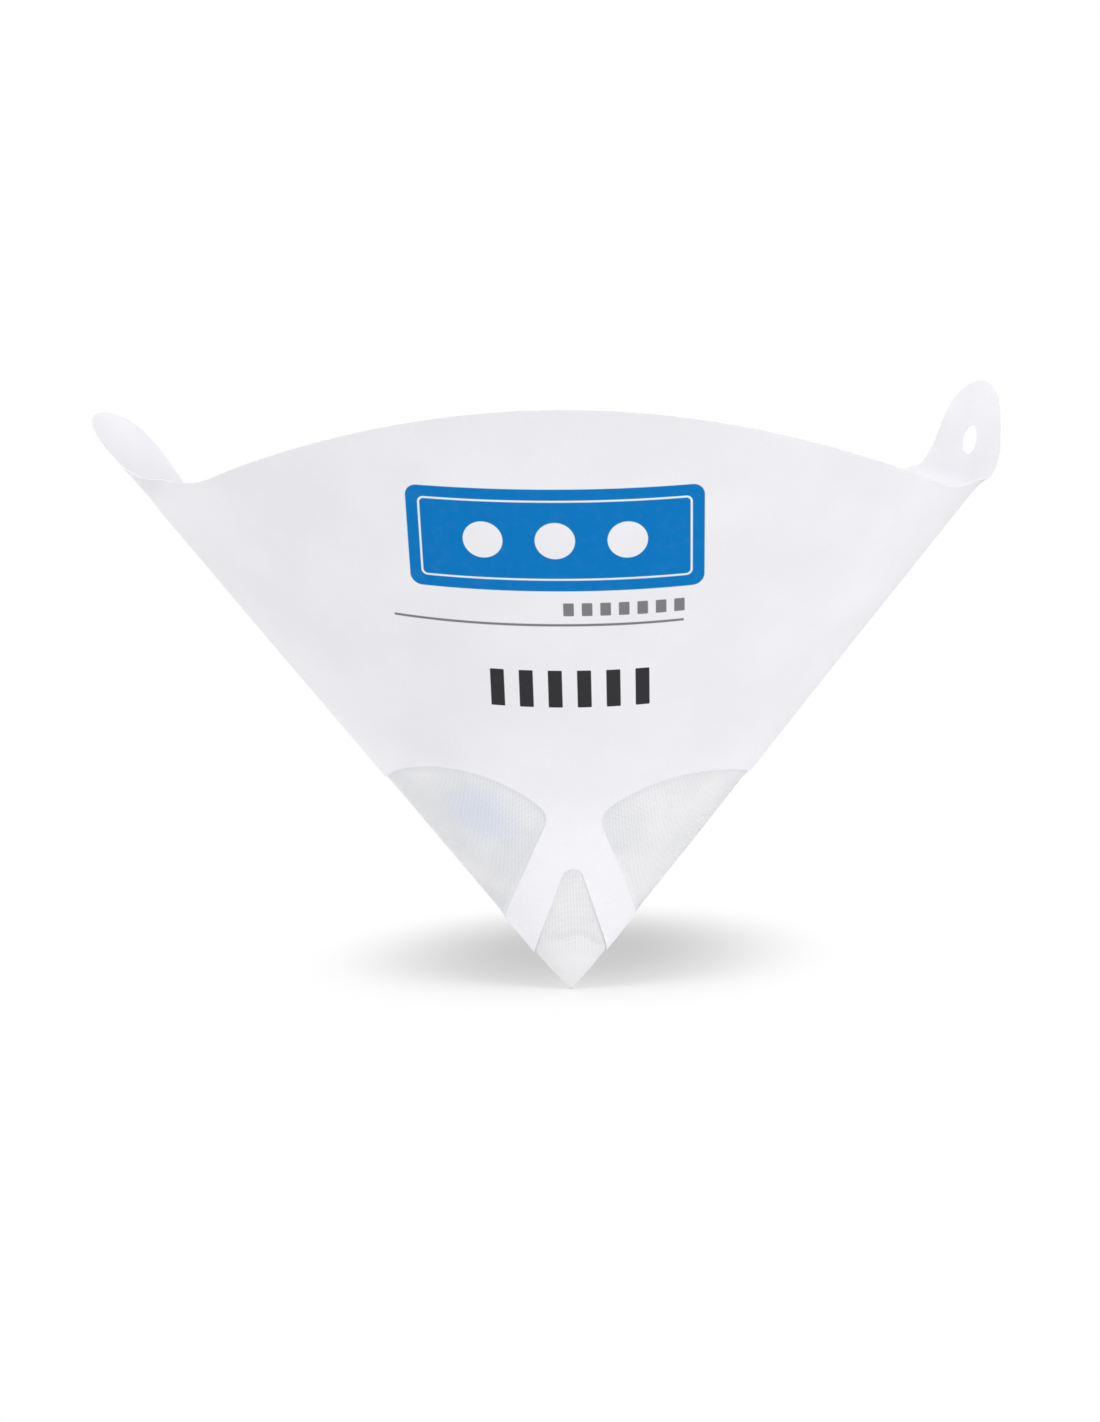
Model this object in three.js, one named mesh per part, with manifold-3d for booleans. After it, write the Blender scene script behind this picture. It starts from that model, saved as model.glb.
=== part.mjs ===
// Disposable cone strainer for paint, stood on its tip in the opened, working form.
// One die-cut paper blank is rolled into an oval cone and glued along a lap seam at the back.
// A cone of fine nylon mesh is glued inside the lower part and closes the tip.
// Millimetres. +Z is up, the printed front faces -Y, the tip rests on the origin.
import * as THREE from 'three';
import { mergeVertices } from 'three/addons/utils/BufferGeometryUtils.js';
import Module from 'manifold-3d';

// Opened oval section: half width and half depth for each millimetre of height above the apex.
const HALF_WIDTH_RATIO = 0.814;
const HALF_DEPTH_RATIO = 0.521;
const SECTION_STEPS = 1440;
const COLUMNS = 72;

// Paper blank.
const SLANT = 150;
const RIM_DROP = 1.6;
const RIM_DROP_ANGLE = 32;
const PAPER_THICKNESS = 0.32;
const PATTERN_TURN = 4.2;

// Lap seam: each end of the blank runs past the middle of the back.
const LAP_OVER = 5;
const LAP_UNDER = 4;
const LAP_RAMP = 5;
const LAP_EASE = 0.8;
const LAP_FOOT_RAISE = 1.5;
const GLUE_BITE = 0.05;

// Window over each side crease, in a frame whose axis runs up the window's middle.
const WINDOW_TOP = 67.5;
const WINDOW_FLAT_TOP = 15;
const WINDOW_SHOULDER = 27.5;
const WINDOW_FOOT = 23.4;
const WINDOW_FLARE = 20.5;
const WINDOW_CORNER = 4.5;
const WINDOW_FOOT_CORNER = 6;

// Arch cut into the lower edge, front and back.
const ARCH_PEAK = 42.3;
const ARCH_HALF_ANGLE = 16;
const ARCH_CORNER = 2.5;
const LEG_CORNER = 5;

// Ears on the rim above the creases. Only one is punched, and each is bent in its own way.
const EAR_TIP = 15;
const EAR_TAPER = 30;
const EAR_LENGTH = 28;
const EAR_FILLET = 40;
const EAR_SETBACK = 4;
const EAR_HOLE = 7;
const EAR_HOLE_HEIGHT = 14;
const EAR_BLEND = 8;
const EAR_SCORES = 7;
const EAR_FOLD_REACH = 8;
const SPINE_STEPS = 12;
const RIGHT_EAR = { side: 1, fold: 37, curl: -14, twist: 9, flatten: 0.83, punched: true };
const LEFT_EAR = { side: -1, fold: 14, curl: -10, twist: 21, flatten: 0.1, punched: false };

// Nylon mesh cone.
const MESH_GAP = 0.3;
const MESH_THICKNESS = 0.25;
const MESH_SLANT = 76;
const TIP_SLANT = 0.8;
const TIP_NOSE = 0.2;

const RAD = Math.PI / 180;
const GRID = 0.05 * RAD;
const ON_LINE = 0.02;

// Unit directions from the apex round the section, against the angle they take up when unrolled.
function makeSection() {
  const flat = [0];
  const directions = [];
  for (let i = 0; i <= SECTION_STEPS; i += 1) {
    const turn = (i / SECTION_STEPS) * 2 * Math.PI;
    const x = HALF_WIDTH_RATIO * Math.sin(turn);
    const y = -HALF_DEPTH_RATIO * Math.cos(turn);
    directions.push(new THREE.Vector3(x, y, 1).normalize());
    if (i > 0) {
      flat.push(flat[i - 1] + directions[i].angleTo(directions[i - 1]));
    }
  }
  return { flat, directions, total: flat[SECTION_STEPS] };
}

const section = makeSection();
const QUARTER = section.total / 4;
const EAR_ROOT = SLANT - RIM_DROP;

// Unit direction of the generator at an unrolled angle from the front.
function generator(angle) {
  const wrapped = ((angle % section.total) + section.total) % section.total;
  let low = 0;
  let high = SECTION_STEPS;
  while (high - low > 1) {
    const middle = (low + high) >> 1;
    if (section.flat[middle] <= wrapped) {
      low = middle;
    } else {
      high = middle;
    }
  }
  const share = (wrapped - section.flat[low]) / (section.flat[high] - section.flat[low]);
  return section.directions[low].clone().lerp(section.directions[high], share).normalize();
}

// Generator, direction across it and outward normal.
function frameAt(angle) {
  const along = generator(angle);
  const across = generator(angle + 0.004).sub(generator(angle - 0.004)).normalize();
  return { along, across, out: across.clone().cross(along).normalize() };
}

// Flat polar point from a local frame whose axis leaves the apex at a given angle.
// Angles are kept as whole steps of a fine grid, so that points on one generator share it.
function flatPoint(along, across, angle) {
  const step = Math.round((angle + Math.atan2(across, along)) / GRID);
  return { step, slant: Math.hypot(along, across) };
}

// Points of an arc in a local frame, angles measured from the frame's axis.
function arc(centreAlong, centreAcross, radius, from, to, count, angle) {
  const points = [];
  for (let i = 0; i <= count; i += 1) {
    const turn = from + ((to - from) * i) / count;
    const along = centreAlong + radius * Math.cos(turn);
    const across = centreAcross + radius * Math.sin(turn);
    points.push(flatPoint(along, across, angle));
  }
  return points;
}

// Outline of one ear: a round tip, tapered sides and the fillets that lead into the rim.
function earOutline(angle) {
  const taper = EAR_TAPER * RAD;
  const down = new THREE.Vector2(-Math.cos(taper), Math.sin(taper));
  const top = EAR_ROOT + EAR_LENGTH - EAR_TIP;
  const reach = EAR_TIP + EAR_FILLET;
  const fillet = new THREE.Vector2(top + reach * Math.sin(taper), reach * Math.cos(taper));
  const along = fillet.dot(down);
  const rim = EAR_ROOT + EAR_FILLET;
  fillet.addScaledVector(down, -along - Math.sqrt(along * along - fillet.lengthSq() + rim * rim));
  const lean = Math.atan2(fillet.y, fillet.x);
  const side = Math.PI / 2 - taper;
  return [
    ...arc(fillet.x, -fillet.y, EAR_FILLET, Math.PI - lean, Math.PI - side, 5, angle),
    ...arc(top, 0, EAR_TIP, -side, side, 10, angle),
    ...arc(fillet.x, fillet.y, EAR_FILLET, side - Math.PI, lean - Math.PI, 5, angle),
  ];
}

// Half of an arch, from its rounded top down one straight side.
function archSide(direction, angle) {
  const slope = ARCH_HALF_ANGLE * RAD;
  const centre = ARCH_PEAK - ARCH_CORNER / Math.sin(slope);
  return arc(centre, 0, ARCH_CORNER, 0, direction * (Math.PI / 2 - slope), 4, angle);
}

// Rounded foot of a leg, where the front and the back arch meet over the crease.
function legFoot(angle) {
  const slope = Math.PI / 2 - (QUARTER + ARCH_HALF_ANGLE * RAD);
  const slantwise = ARCH_PEAK * Math.sin(ARCH_HALF_ANGLE * RAD);
  const corner = slantwise / Math.sin(QUARTER + ARCH_HALF_ANGLE * RAD);
  const centre = corner + LEG_CORNER / Math.cos(slope);
  return arc(centre, 0, LEG_CORNER, Math.PI - slope, Math.PI + slope, 3, angle);
}

// The rim stands highest in the middle of the front and back and dips towards the ears.
function rimSlant(angle) {
  const away = Math.min(Math.abs(angle), Math.abs(2 * QUARTER - angle)) / (RIM_DROP_ANGLE * RAD);
  return SLANT - RIM_DROP * Math.sin((Math.min(1, away) * Math.PI) / 2) ** 2;
}

// Rim between two angles, with a point on every column.
function rimArc(from, to, columns) {
  const steps = columns.filter((step) => step * GRID > from && step * GRID < to);
  const ends = [Math.round(from / GRID), Math.round(to / GRID)];
  return [ends[0], ...steps, ends[1]].map((step) => ({ step, slant: rimSlant(step * GRID) }));
}

// Grid steps of the section's columns on one half of the blank.
function columnSteps(side) {
  const steps = [];
  for (let i = -COLUMNS; i <= COLUMNS; i += 1) {
    const index = ((i + COLUMNS) % COLUMNS) * (SECTION_STEPS / COLUMNS);
    const angle = section.flat[index] + (i < 0 ? -section.total : 0) - PATTERN_TURN * RAD;
    const step = Math.round((side * angle) / GRID);
    if (step > 0 && step * GRID < 2 * QUARTER + 0.3) {
      steps.push(step);
    }
  }
  return steps.sort((p, q) => p - q);
}

// Window with its flat top, round shoulders and rounded corners, closed round its own axis.
function windowOutline(angle) {
  const flare = WINDOW_FLARE * RAD;
  const normal = new THREE.Vector2(Math.cos(flare), -Math.sin(flare));
  const edge = new THREE.Vector2(Math.sin(flare), Math.cos(flare));
  const centre = new THREE.Vector2(WINDOW_TOP - WINDOW_SHOULDER, WINDOW_FLAT_TOP / 2);
  const start = new THREE.Vector2(WINDOW_FOOT, 0).sub(centre).addScaledVector(normal, WINDOW_CORNER);
  const inner = WINDOW_SHOULDER - WINDOW_CORNER;
  const middle = start.dot(edge);
  const run = -middle + Math.sqrt(middle * middle - start.lengthSq() + inner * inner);
  const corner = start.clone().addScaledVector(edge, run);
  const lean = Math.atan2(corner.y, corner.x);
  const side = corner.clone().add(centre);
  const foot = WINDOW_FOOT + WINDOW_FOOT_CORNER / Math.cos(flare);
  return [
    ...arc(centre.x, -centre.y, WINDOW_SHOULDER, -lean, 0, 9, angle),
    ...arc(centre.x, centre.y, WINDOW_SHOULDER, 0, lean, 9, angle),
    ...arc(side.x, side.y, WINDOW_CORNER, lean, Math.PI - flare, 6, angle).slice(1),
    ...arc(foot, 0, WINDOW_FOOT_CORNER, Math.PI - flare, Math.PI + flare, 5, angle),
    ...arc(side.x, -side.y, WINDOW_CORNER, Math.PI + flare, 2 * Math.PI - lean, 6, angle).slice(0, -1),
  ];
}

// Outlines of one half of the blank, from the front middle to past the back middle.
function halfOutlines(lap, earAngle, columns, punched) {
  const ear = earOutline(earAngle);
  const earStart = ear[0].step * GRID;
  const earEnd = ear[ear.length - 1].step * GRID;
  const back = 2 * QUARTER;
  const lapFoot = archSide(1, 0)[0].slant + LAP_FOOT_RAISE;
  const outline = [
    ...rimArc(0, earStart, columns).slice(0, -1),
    ...ear,
    ...rimArc(earEnd, back + Math.asin(lap / SLANT), columns).slice(1),
    flatPoint(lapFoot + lap, lap, back),
    flatPoint(lapFoot, 0, back),
    ...archSide(-1, back),
    ...legFoot(QUARTER),
    ...archSide(1, 0).reverse(),
  ];
  const hole = arc(EAR_ROOT + EAR_HOLE_HEIGHT, 0, EAR_HOLE / 2, 0, 2 * Math.PI, 16, earAngle);
  const rings = [outline, windowOutline(QUARTER)];
  return punched ? [...rings, hole.slice(0, -1)] : rings;
}

// Slant at which the straight edge p-q crosses a generator.
function crossSlant(p, q, step) {
  if (step === p.step) {
    return p.slant;
  }
  if (step === q.step) {
    return q.slant;
  }
  const p0 = Math.sin((q.step - step) * GRID) / p.slant;
  const q0 = Math.sin((step - p.step) * GRID) / q.slant;
  return Math.sin((q.step - p.step) * GRID) / (p0 + q0);
}

// Cuts the sheet inside the outlines into strips between neighbouring generators.
// Each strip is [step, next step, low edge, high edge] with the slants at both ends.
function cutStrips(rings, columns) {
  const edges = rings.flatMap((ring) => ring.map((p, i) => {
    const q = ring[(i + 1) % ring.length];
    return p.step < q.step ? [p, q] : [q, p];
  })).filter(([p, q]) => p.step !== q.step);
  const first = Math.min(...edges.map(([p]) => p.step));
  const last = Math.max(...edges.map(([, q]) => q.step));
  const all = [...columns, ...edges.flatMap(([p, q]) => [p.step, q.step])];
  const steps = [...new Set(all)].filter((step) => step >= first && step <= last).sort((p, q) => p - q);
  const strips = [];
  const nodes = new Map(steps.map((step) => [step, new Set()]));
  rings.flat().forEach((p) => nodes.get(p.step).add(p.slant));
  for (let i = 1; i < steps.length; i += 1) {
    const [from, to] = [steps[i - 1], steps[i]];
    const spans = edges.filter(([p, q]) => p.step <= from && q.step >= to);
    const cuts = spans.map(([p, q]) => [crossSlant(p, q, from), crossSlant(p, q, to)]);
    cuts.sort((p, q) => p[0] + p[1] - q[0] - q[1]);
    for (let k = 0; k + 1 < cuts.length; k += 2) {
      strips.push({ from, to, low: cuts[k], high: cuts[k + 1] });
    }
    cuts.forEach((cut) => {
      nodes.get(from).add(cut[0]);
      nodes.get(to).add(cut[1]);
    });
  }
  return { strips, nodes };
}

// Flat sheet of paper inside the outlines, as a closed list of triangles.
function flatSheet(rings, columns) {
  const { strips, nodes } = cutStrips(rings, columns);
  const place = (step, slant, z) => {
    return new THREE.Vector3(slant * Math.sin(step * GRID), slant * Math.cos(step * GRID), z);
  };
  const triangles = [];
  const addWall = (step, slant, nextStep, nextSlant) => {
    const corners = [place(step, slant, 0), place(nextStep, nextSlant, 0)];
    corners.push(place(nextStep, nextSlant, PAPER_THICKNESS), place(step, slant, PAPER_THICKNESS));
    triangles.push([corners[0], corners[1], corners[2]], [corners[0], corners[2], corners[3]]);
  };
  for (const { from, to, low, high } of strips) {
    const chain = (step, bottom, top) => [...nodes.get(step)]
      .filter((slant) => slant >= bottom && slant <= top)
      .sort((p, q) => p - q);
    const left = chain(from, low[0], high[0]);
    const right = chain(to, low[1], high[1]);
    let i = 0;
    let j = 0;
    while (i + 1 < left.length || j + 1 < right.length) {
      const takeLeft = j + 1 >= right.length || (i + 1 < left.length && left[i + 1] <= right[j + 1]);
      const third = takeLeft ? [from, left[i + 1]] : [to, right[j + 1]];
      for (const z of [0, PAPER_THICKNESS]) {
        const face = [place(from, left[i], z), place(to, right[j], z), place(...third, z)];
        triangles.push(z === 0 ? face.reverse() : face);
      }
      i += takeLeft ? 1 : 0;
      j += takeLeft ? 0 : 1;
    }
    addWall(from, low[0], to, low[1]);
    addWall(to, high[1], from, high[0]);
  }
  for (const ring of rings) {
    ring.forEach((p, i) => {
      const q = ring[(i + 1) % ring.length];
      if (p.step === q.step && p.slant !== q.slant) {
        const between = [...nodes.get(p.step)].filter((s) => (s - p.slant) * (s - q.slant) <= 0);
        between.sort((s, t) => (s - t) * Math.sign(q.slant - p.slant));
        between.slice(1).forEach((slant, k) => {
          triangles.push(...radialWall(p.step, between[k], slant, strips, place));
        });
      }
    });
  }
  return triangles;
}

// Wall on a generator, facing away from the strip that ends on it.
function radialWall(step, slant, nextSlant, strips, place) {
  const middle = (slant + nextSlant) / 2;
  const before = strips.some((s) => s.to === step && s.low[1] < middle && s.high[1] > middle);
  const [a, b] = before === slant < nextSlant ? [slant, nextSlant] : [nextSlant, slant];
  const corners = [place(step, a, 0), place(step, b, 0)];
  corners.push(place(step, b, PAPER_THICKNESS), place(step, a, PAPER_THICKNESS));
  return [[corners[0], corners[1], corners[2]], [corners[0], corners[2], corners[3]]];
}

// Fixed order of an edge's two ends, so that both its triangles split it at the same point.
function isFirst(p, q) {
  if (p.x !== q.x) {
    return p.x < q.x;
  }
  if (p.y !== q.y) {
    return p.y < q.y;
  }
  return p.z < q.z;
}

// Part of a triangle on one side of a line, heights being the distances above it.
function trimTriangle(triangle, heights) {
  const piece = [];
  for (let i = 0; i < 3; i += 1) {
    const j = (i + 1) % 3;
    if (heights[i] >= -ON_LINE) {
      piece.push(triangle[i]);
    }
    if (Math.min(heights[i], heights[j]) < -ON_LINE && Math.max(heights[i], heights[j]) > ON_LINE) {
      const [a, b] = isFirst(triangle[i], triangle[j]) ? [i, j] : [j, i];
      piece.push(triangle[a].clone().lerp(triangle[b], heights[a] / (heights[a] - heights[b])));
    }
  }
  return piece;
}

// Splits every triangle that crosses the line normal . (x, y) = offset.
function scoreLine(triangles, normal, offset) {
  const result = [];
  for (const triangle of triangles) {
    const heights = triangle.map((p) => normal.x * p.x + normal.y * p.y - offset);
    if (Math.max(...heights) <= ON_LINE || Math.min(...heights) >= -ON_LINE) {
      result.push(triangle);
      continue;
    }
    const upper = trimTriangle(triangle, heights);
    const lower = trimTriangle(triangle, heights.map((h) => -h));
    for (const piece of [upper, lower]) {
      for (let i = 2; i < piece.length; i += 1) {
        result.push([piece[0], piece[i - 1], piece[i]]);
      }
    }
  }
  return result;
}

function smooth(value) {
  const t = Math.min(1, Math.max(0, value));
  return t * t * (3 - 2 * t);
}

// Lean of the ear towards the inside of the cone at a height above its root.
function earLean(ear, height) {
  const fold = ear.fold * smooth(height / EAR_FOLD_REACH);
  return (fold + (ear.curl * height) / EAR_LENGTH) * RAD;
}

// Where a point of the ear lies once the ear is folded in, curled, turned and flattened.
function earPlace(ear, root, along, across) {
  const height = Math.max(0, along - EAR_ROOT);
  const spine = root.along.clone().multiplyScalar(EAR_ROOT);
  for (let i = 0; i < SPINE_STEPS; i += 1) {
    const lean = earLean(ear, (height * (i + 0.5)) / SPINE_STEPS);
    spine.addScaledVector(root.along, (height * Math.cos(lean)) / SPINE_STEPS);
    spine.addScaledVector(root.out, (-height * Math.sin(lean)) / SPINE_STEPS);
  }
  const lean = earLean(ear, height);
  const out = root.out.clone().multiplyScalar(Math.cos(lean)).addScaledVector(root.along, Math.sin(lean));
  const axis = root.along.clone().multiplyScalar(Math.cos(lean)).addScaledVector(root.out, -Math.sin(lean));
  const share = height / EAR_LENGTH;
  const curve = root.curve * (1 - ear.flatten * smooth(2 * share));
  const place = root.across.clone().multiplyScalar(Math.sin(curve * across) / curve);
  place.addScaledVector(out, (Math.cos(curve * across) - 1) / curve);
  const normal = out.clone().multiplyScalar(Math.cos(curve * across));
  normal.addScaledVector(root.across, Math.sin(curve * across));
  const twist = ear.side * ear.twist * RAD * Math.sin((Math.min(1, share) * Math.PI) / 2);
  place.applyAxisAngle(axis, twist);
  normal.applyAxisAngle(axis, twist);
  return { point: spine.add(place), normal };
}

// Rolls a flat point with its height through the sheet onto the cone.
function roll(flat, ear, earAngle, root) {
  const slant = Math.hypot(flat.x, flat.y);
  const angle = Math.atan2(flat.x, flat.y);
  const frame = frameAt(ear.side * angle + PATTERN_TURN * RAD);
  const place = { point: frame.along.clone().multiplyScalar(slant), normal: frame.out };
  const along = slant * Math.cos(angle - earAngle);
  const blend = smooth((along - EAR_ROOT) / EAR_BLEND);
  if (blend > 0) {
    const bent = earPlace(ear, root, along, ear.side * slant * Math.sin(angle - earAngle));
    place.point.lerp(bent.point, blend);
    place.normal.lerp(bent.normal, blend).normalize();
  }
  const past = slant * Math.sin(angle - 2 * QUARTER) + LAP_UNDER + LAP_EASE;
  const lapped = ear.side > 0 && angle > QUARTER ? smooth(past / LAP_RAMP + 1) : 0;
  const height = flat.z + lapped * (PAPER_THICKNESS - GLUE_BITE);
  return place.point.addScaledVector(place.normal, height);
}

// One half of the rolled paper.
function paperHalf(ear, lap) {
  const turn = PATTERN_TURN * RAD;
  const earAngle = QUARTER + EAR_SETBACK / SLANT;
  const columns = columnSteps(ear.side);
  let triangles = flatSheet(halfOutlines(lap, earAngle, columns, ear.punched), columns);
  for (let i = 0; i < EAR_SCORES; i += 1) {
    const normal = new THREE.Vector2(Math.sin(earAngle), Math.cos(earAngle));
    triangles = scoreLine(triangles, normal, EAR_ROOT + (EAR_LENGTH * i) / EAR_SCORES);
  }
  if (ear.side > 0) {
    const normal = new THREE.Vector2(Math.cos(2 * QUARTER), -Math.sin(2 * QUARTER));
    for (let i = 0; i <= 4; i += 1) {
      triangles = scoreLine(triangles, normal, -LAP_UNDER - LAP_EASE - (LAP_RAMP * i) / 4);
    }
  }
  const root = frameAt(ear.side * earAngle + turn);
  const spread = frameAt(ear.side * earAngle + turn + 0.05).out;
  root.curve = spread.angleTo(frameAt(ear.side * earAngle + turn - 0.05).out) / (0.1 * SLANT);
  const faces = ear.side > 0 ? triangles : triangles.map((t) => [...t].reverse());
  const rolled = faces.flat().map((p) => roll(p, ear, earAngle, root));
  return new THREE.BufferGeometry().setFromPoints(rolled);
}

// Joins the two halves into one glued sheet.
function paperCone(wasm) {
  const solids = [paperHalf(RIGHT_EAR, LAP_OVER), paperHalf(LEFT_EAR, LAP_UNDER)].map((geometry) => {
    const merged = mergeVertices(geometry, 1e-6);
    const mesh = new wasm.Mesh({
      numProp: 3,
      vertProperties: new Float32Array(merged.getAttribute('position').array),
      triVerts: new Uint32Array(merged.getIndex().array),
    });
    return new wasm.Manifold(mesh);
  });
  const joined = solids[0].add(solids[1]).getMesh();
  const geometry = new THREE.BufferGeometry();
  geometry.setAttribute('position', new THREE.BufferAttribute(new Float32Array(joined.vertProperties), 3));
  geometry.setIndex(new THREE.BufferAttribute(new Uint32Array(joined.triVerts), 1));
  return geometry;
}

// Cone of mesh, open above and closed at its blunt tip.
function meshFilter(apexHeight) {
  const drop = Math.hypot(1, 1 / HALF_DEPTH_RATIO);
  const innerRise = MESH_THICKNESS * drop;
  const rings = [
    { slant: TIP_SLANT, rise: 0 },
    { slant: MESH_SLANT, rise: 0 },
    { slant: MESH_SLANT, rise: innerRise },
  ];
  const points = [new THREE.Vector3(0, 0, apexHeight + TIP_SLANT * generator(0).z - TIP_NOSE)];
  for (const ring of rings) {
    for (let i = 0; i < COLUMNS; i += 1) {
      const angle = section.flat[(i * SECTION_STEPS) / COLUMNS];
      const point = generator(angle).multiplyScalar(ring.slant);
      point.z += apexHeight + ring.rise;
      points.push(point);
    }
  }
  const inside = points.length;
  points.push(new THREE.Vector3(0, 0, apexHeight + innerRise + TIP_SLANT));
  const index = [];
  for (let i = 0; i < COLUMNS; i += 1) {
    const j = (i + 1) % COLUMNS;
    index.push(0, 1 + j, 1 + i);
    for (let ring = 0; ring < rings.length - 1; ring += 1) {
      const low = 1 + ring * COLUMNS;
      const high = low + COLUMNS;
      index.push(low + i, low + j, high + j, low + i, high + j, high + i);
    }
    const last = 1 + (rings.length - 1) * COLUMNS;
    index.push(last + i, last + j, inside);
  }
  const geometry = new THREE.BufferGeometry().setFromPoints(points);
  geometry.setIndex(index);
  return geometry;
}

const wasm = await Module();
wasm.setup();

const meshApex = TIP_NOSE - TIP_SLANT * generator(0).z;
const paperApex = meshApex - MESH_GAP * Math.hypot(1, 1 / HALF_DEPTH_RATIO);

const paper = new THREE.Mesh(
  paperCone(wasm).translate(0, 0, paperApex),
  new THREE.MeshStandardMaterial({ color: 0xeeeef0, roughness: 0.85, metalness: 0 }),
);
paper.name = 'paper_cone';

const mesh = new THREE.Mesh(
  meshFilter(meshApex),
  new THREE.MeshStandardMaterial({ color: 0xe2e2e6, roughness: 0.6, metalness: 0 }),
);
mesh.name = 'mesh_filter';

const strainer = new THREE.Group();
strainer.name = 'paint_strainer';
strainer.add(paper, mesh);

export default strainer;
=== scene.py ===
# A disposable paper cone strainer, opened and stood on its tip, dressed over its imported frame.
import math

import bpy
import numpy as np
from bpy.props import FloatProperty, FloatVectorProperty, PointerProperty
from mathutils import Matrix, Vector, kdtree, noise
from mathutils.geometry import delaunay_2d_cdt


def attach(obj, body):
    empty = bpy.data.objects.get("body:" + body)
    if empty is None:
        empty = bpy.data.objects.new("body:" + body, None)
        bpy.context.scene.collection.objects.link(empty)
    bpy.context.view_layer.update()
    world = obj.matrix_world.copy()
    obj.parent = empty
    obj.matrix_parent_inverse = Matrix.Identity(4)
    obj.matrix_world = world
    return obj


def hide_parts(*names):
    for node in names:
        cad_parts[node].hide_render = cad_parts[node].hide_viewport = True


bl_info = {
    "name": "Paper cone strainer",
    "version": (1, 0, 0),
    "blender": (4, 5, 0),
    "location": "View3D > Sidebar > Strainer",
    "description": "Makes the paper, the nylon cone and the stage of a paper cone strainer",
    "category": "Object",
}

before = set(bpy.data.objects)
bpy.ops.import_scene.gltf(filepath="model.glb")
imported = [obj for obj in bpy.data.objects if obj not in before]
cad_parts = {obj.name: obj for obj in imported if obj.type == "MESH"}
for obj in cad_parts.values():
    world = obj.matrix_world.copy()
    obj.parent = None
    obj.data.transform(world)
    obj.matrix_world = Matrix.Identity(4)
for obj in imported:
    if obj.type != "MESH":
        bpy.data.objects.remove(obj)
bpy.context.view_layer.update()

MM = 0.001
DEGREE = math.pi / 180

# Opened oval section, as half width and half depth for each unit of height above the apex.
HALF_WIDTH_RATIO = 0.814
HALF_DEPTH_RATIO = 0.521
SECTION_STEPS = 2880

# Steps in angle over which slopes and bends are taken.
SLOPE_STEP = 0.004
BEND_STEP = 0.05

# Paper blank, as the frame has it.
SLANT = 150 * MM
RIM_DROP = 1.6 * MM
RIM_DROP_ANGLE = 32 * DEGREE
PATTERN_TURN = 4.2 * DEGREE
LAP_OVER = 5 * MM
LAP_UNDER = 4 * MM
LAP_RAMP = 5 * MM
LAP_EASE = 0.8 * MM
LAP_FOOT_RAISE = 1.5 * MM

# Windows over the side creases.
WINDOW_TOP = 67.5 * MM
WINDOW_FLAT_TOP = 15 * MM
WINDOW_SHOULDER = 27.5 * MM
WINDOW_FOOT = 23.4 * MM
WINDOW_FLARE = 20.5 * DEGREE
WINDOW_CORNER = 4.5 * MM
WINDOW_FOOT_CORNER = 6 * MM

# Arches of the lower edge.
ARCH_PEAK = 42.3 * MM
ARCH_HALF_ANGLE = 16 * DEGREE
ARCH_CORNER = 2.5 * MM
LEG_CORNER = 5 * MM

# Ears, with folds, curls and twists in degrees.
EAR_TIP = 15 * MM
EAR_TAPER = 30 * DEGREE
EAR_LENGTH = 28 * MM
EAR_FILLET = 40 * MM
EAR_SETBACK = 4 * MM
EAR_HOLE = 7 * MM
EAR_HOLE_HEIGHT = 14 * MM
EAR_BLEND = 8 * MM
EAR_FOLD_REACH = 8 * MM
SPINE_STEPS = 12
RIGHT_EAR = {"side": 1, "fold": 37, "curl": -14, "twist": 9, "flatten": 0.83}
LEFT_EAR = {"side": -1, "fold": 14, "curl": -10, "twist": 21, "flatten": 0.1}

# Nylon cone.
MESH_SLANT = 76 * MM
MESH_THICKNESS = 0.15 * MM
MESH_GAP = 0.3 * MM
MESH_CLEARANCE = 0.05 * MM
MESH_FREE_SLANT = 3 * MM
MESH_SEATED_SLANT = 9 * MM
TIP_SLANT = 0.8 * MM
TIP_NOSE = 0.2 * MM
MESH_COLUMNS = 288
MESH_ROWS = 84
DENT_SLANT = 15.5 * MM
DENT_WIDTH = 0.9 * MM
DENT_DEPTH = 0.35 * MM
DENT_WAVES = 5
DENT_WANDER = 0.7 * MM
SAG_DEPTH = 0.12 * MM
SAG_SIZE = 12 * MM
SAG_SEED = 1.7
SAG_START = 10 * MM
GLUE_REACH = 3 * MM

# Tones of the nylon, with places in millimetres of its flat cloth, and its painted light and shade.
TIP_PAINTED_LIGHT_START = 8.0
TIP_PAINTED_LIGHT_END = 26.0
PAINTED_SHADE_BAND_START = 30.0
PAINTED_SHADE_BAND_END = 60.0
PAINTED_SHADE_BAND_STRENGTH = 0.8
SHADE_MIDDLE = (-21.2, 46.8)
SHADE_REACH = 13.5
SHADE_STRENGTH = 0.85
SHADE_EVEN = 0.35
NYLON_CLOUD_SCALE = 60.0
NYLON_CLOUD_RANGE = (0.35, 0.65)
NYLON_PALE_SHARES = (0.915, 0.92, 0.935)

# Weave of the nylon: where a thread starts, how dense each part is, and its relief.
THREAD_RANGE = (0.35, 0.7)
OPEN_ALPHA = 0.6
THREAD_ALPHA = 0.38
GLUE_ALPHA = 0.95
# The weave is made denser at the tip, which paints it lighter.
TIP_ALPHA = 0.94
CROSSING_HEIGHT = 0.35
NYLON_BUMP = 0.5
NYLON_BUMP_DEPTH = 0.06 * MM
NYLON_ROUGHNESS = 0.5
NYLON_SHEEN = 0.35
THREAD_GLOSS = 0.1

# Fineness of the paper mesh.
EDGE_SPACING = 0.9 * MM
GRAIN = 1.7 * MM
CLEAR_OF_EDGE = 0.6 * GRAIN
MERGE_DISTANCE = 1e-7
PAPER_SHARP = 40 * DEGREE
NYLON_SHARP = 60 * DEGREE

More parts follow.
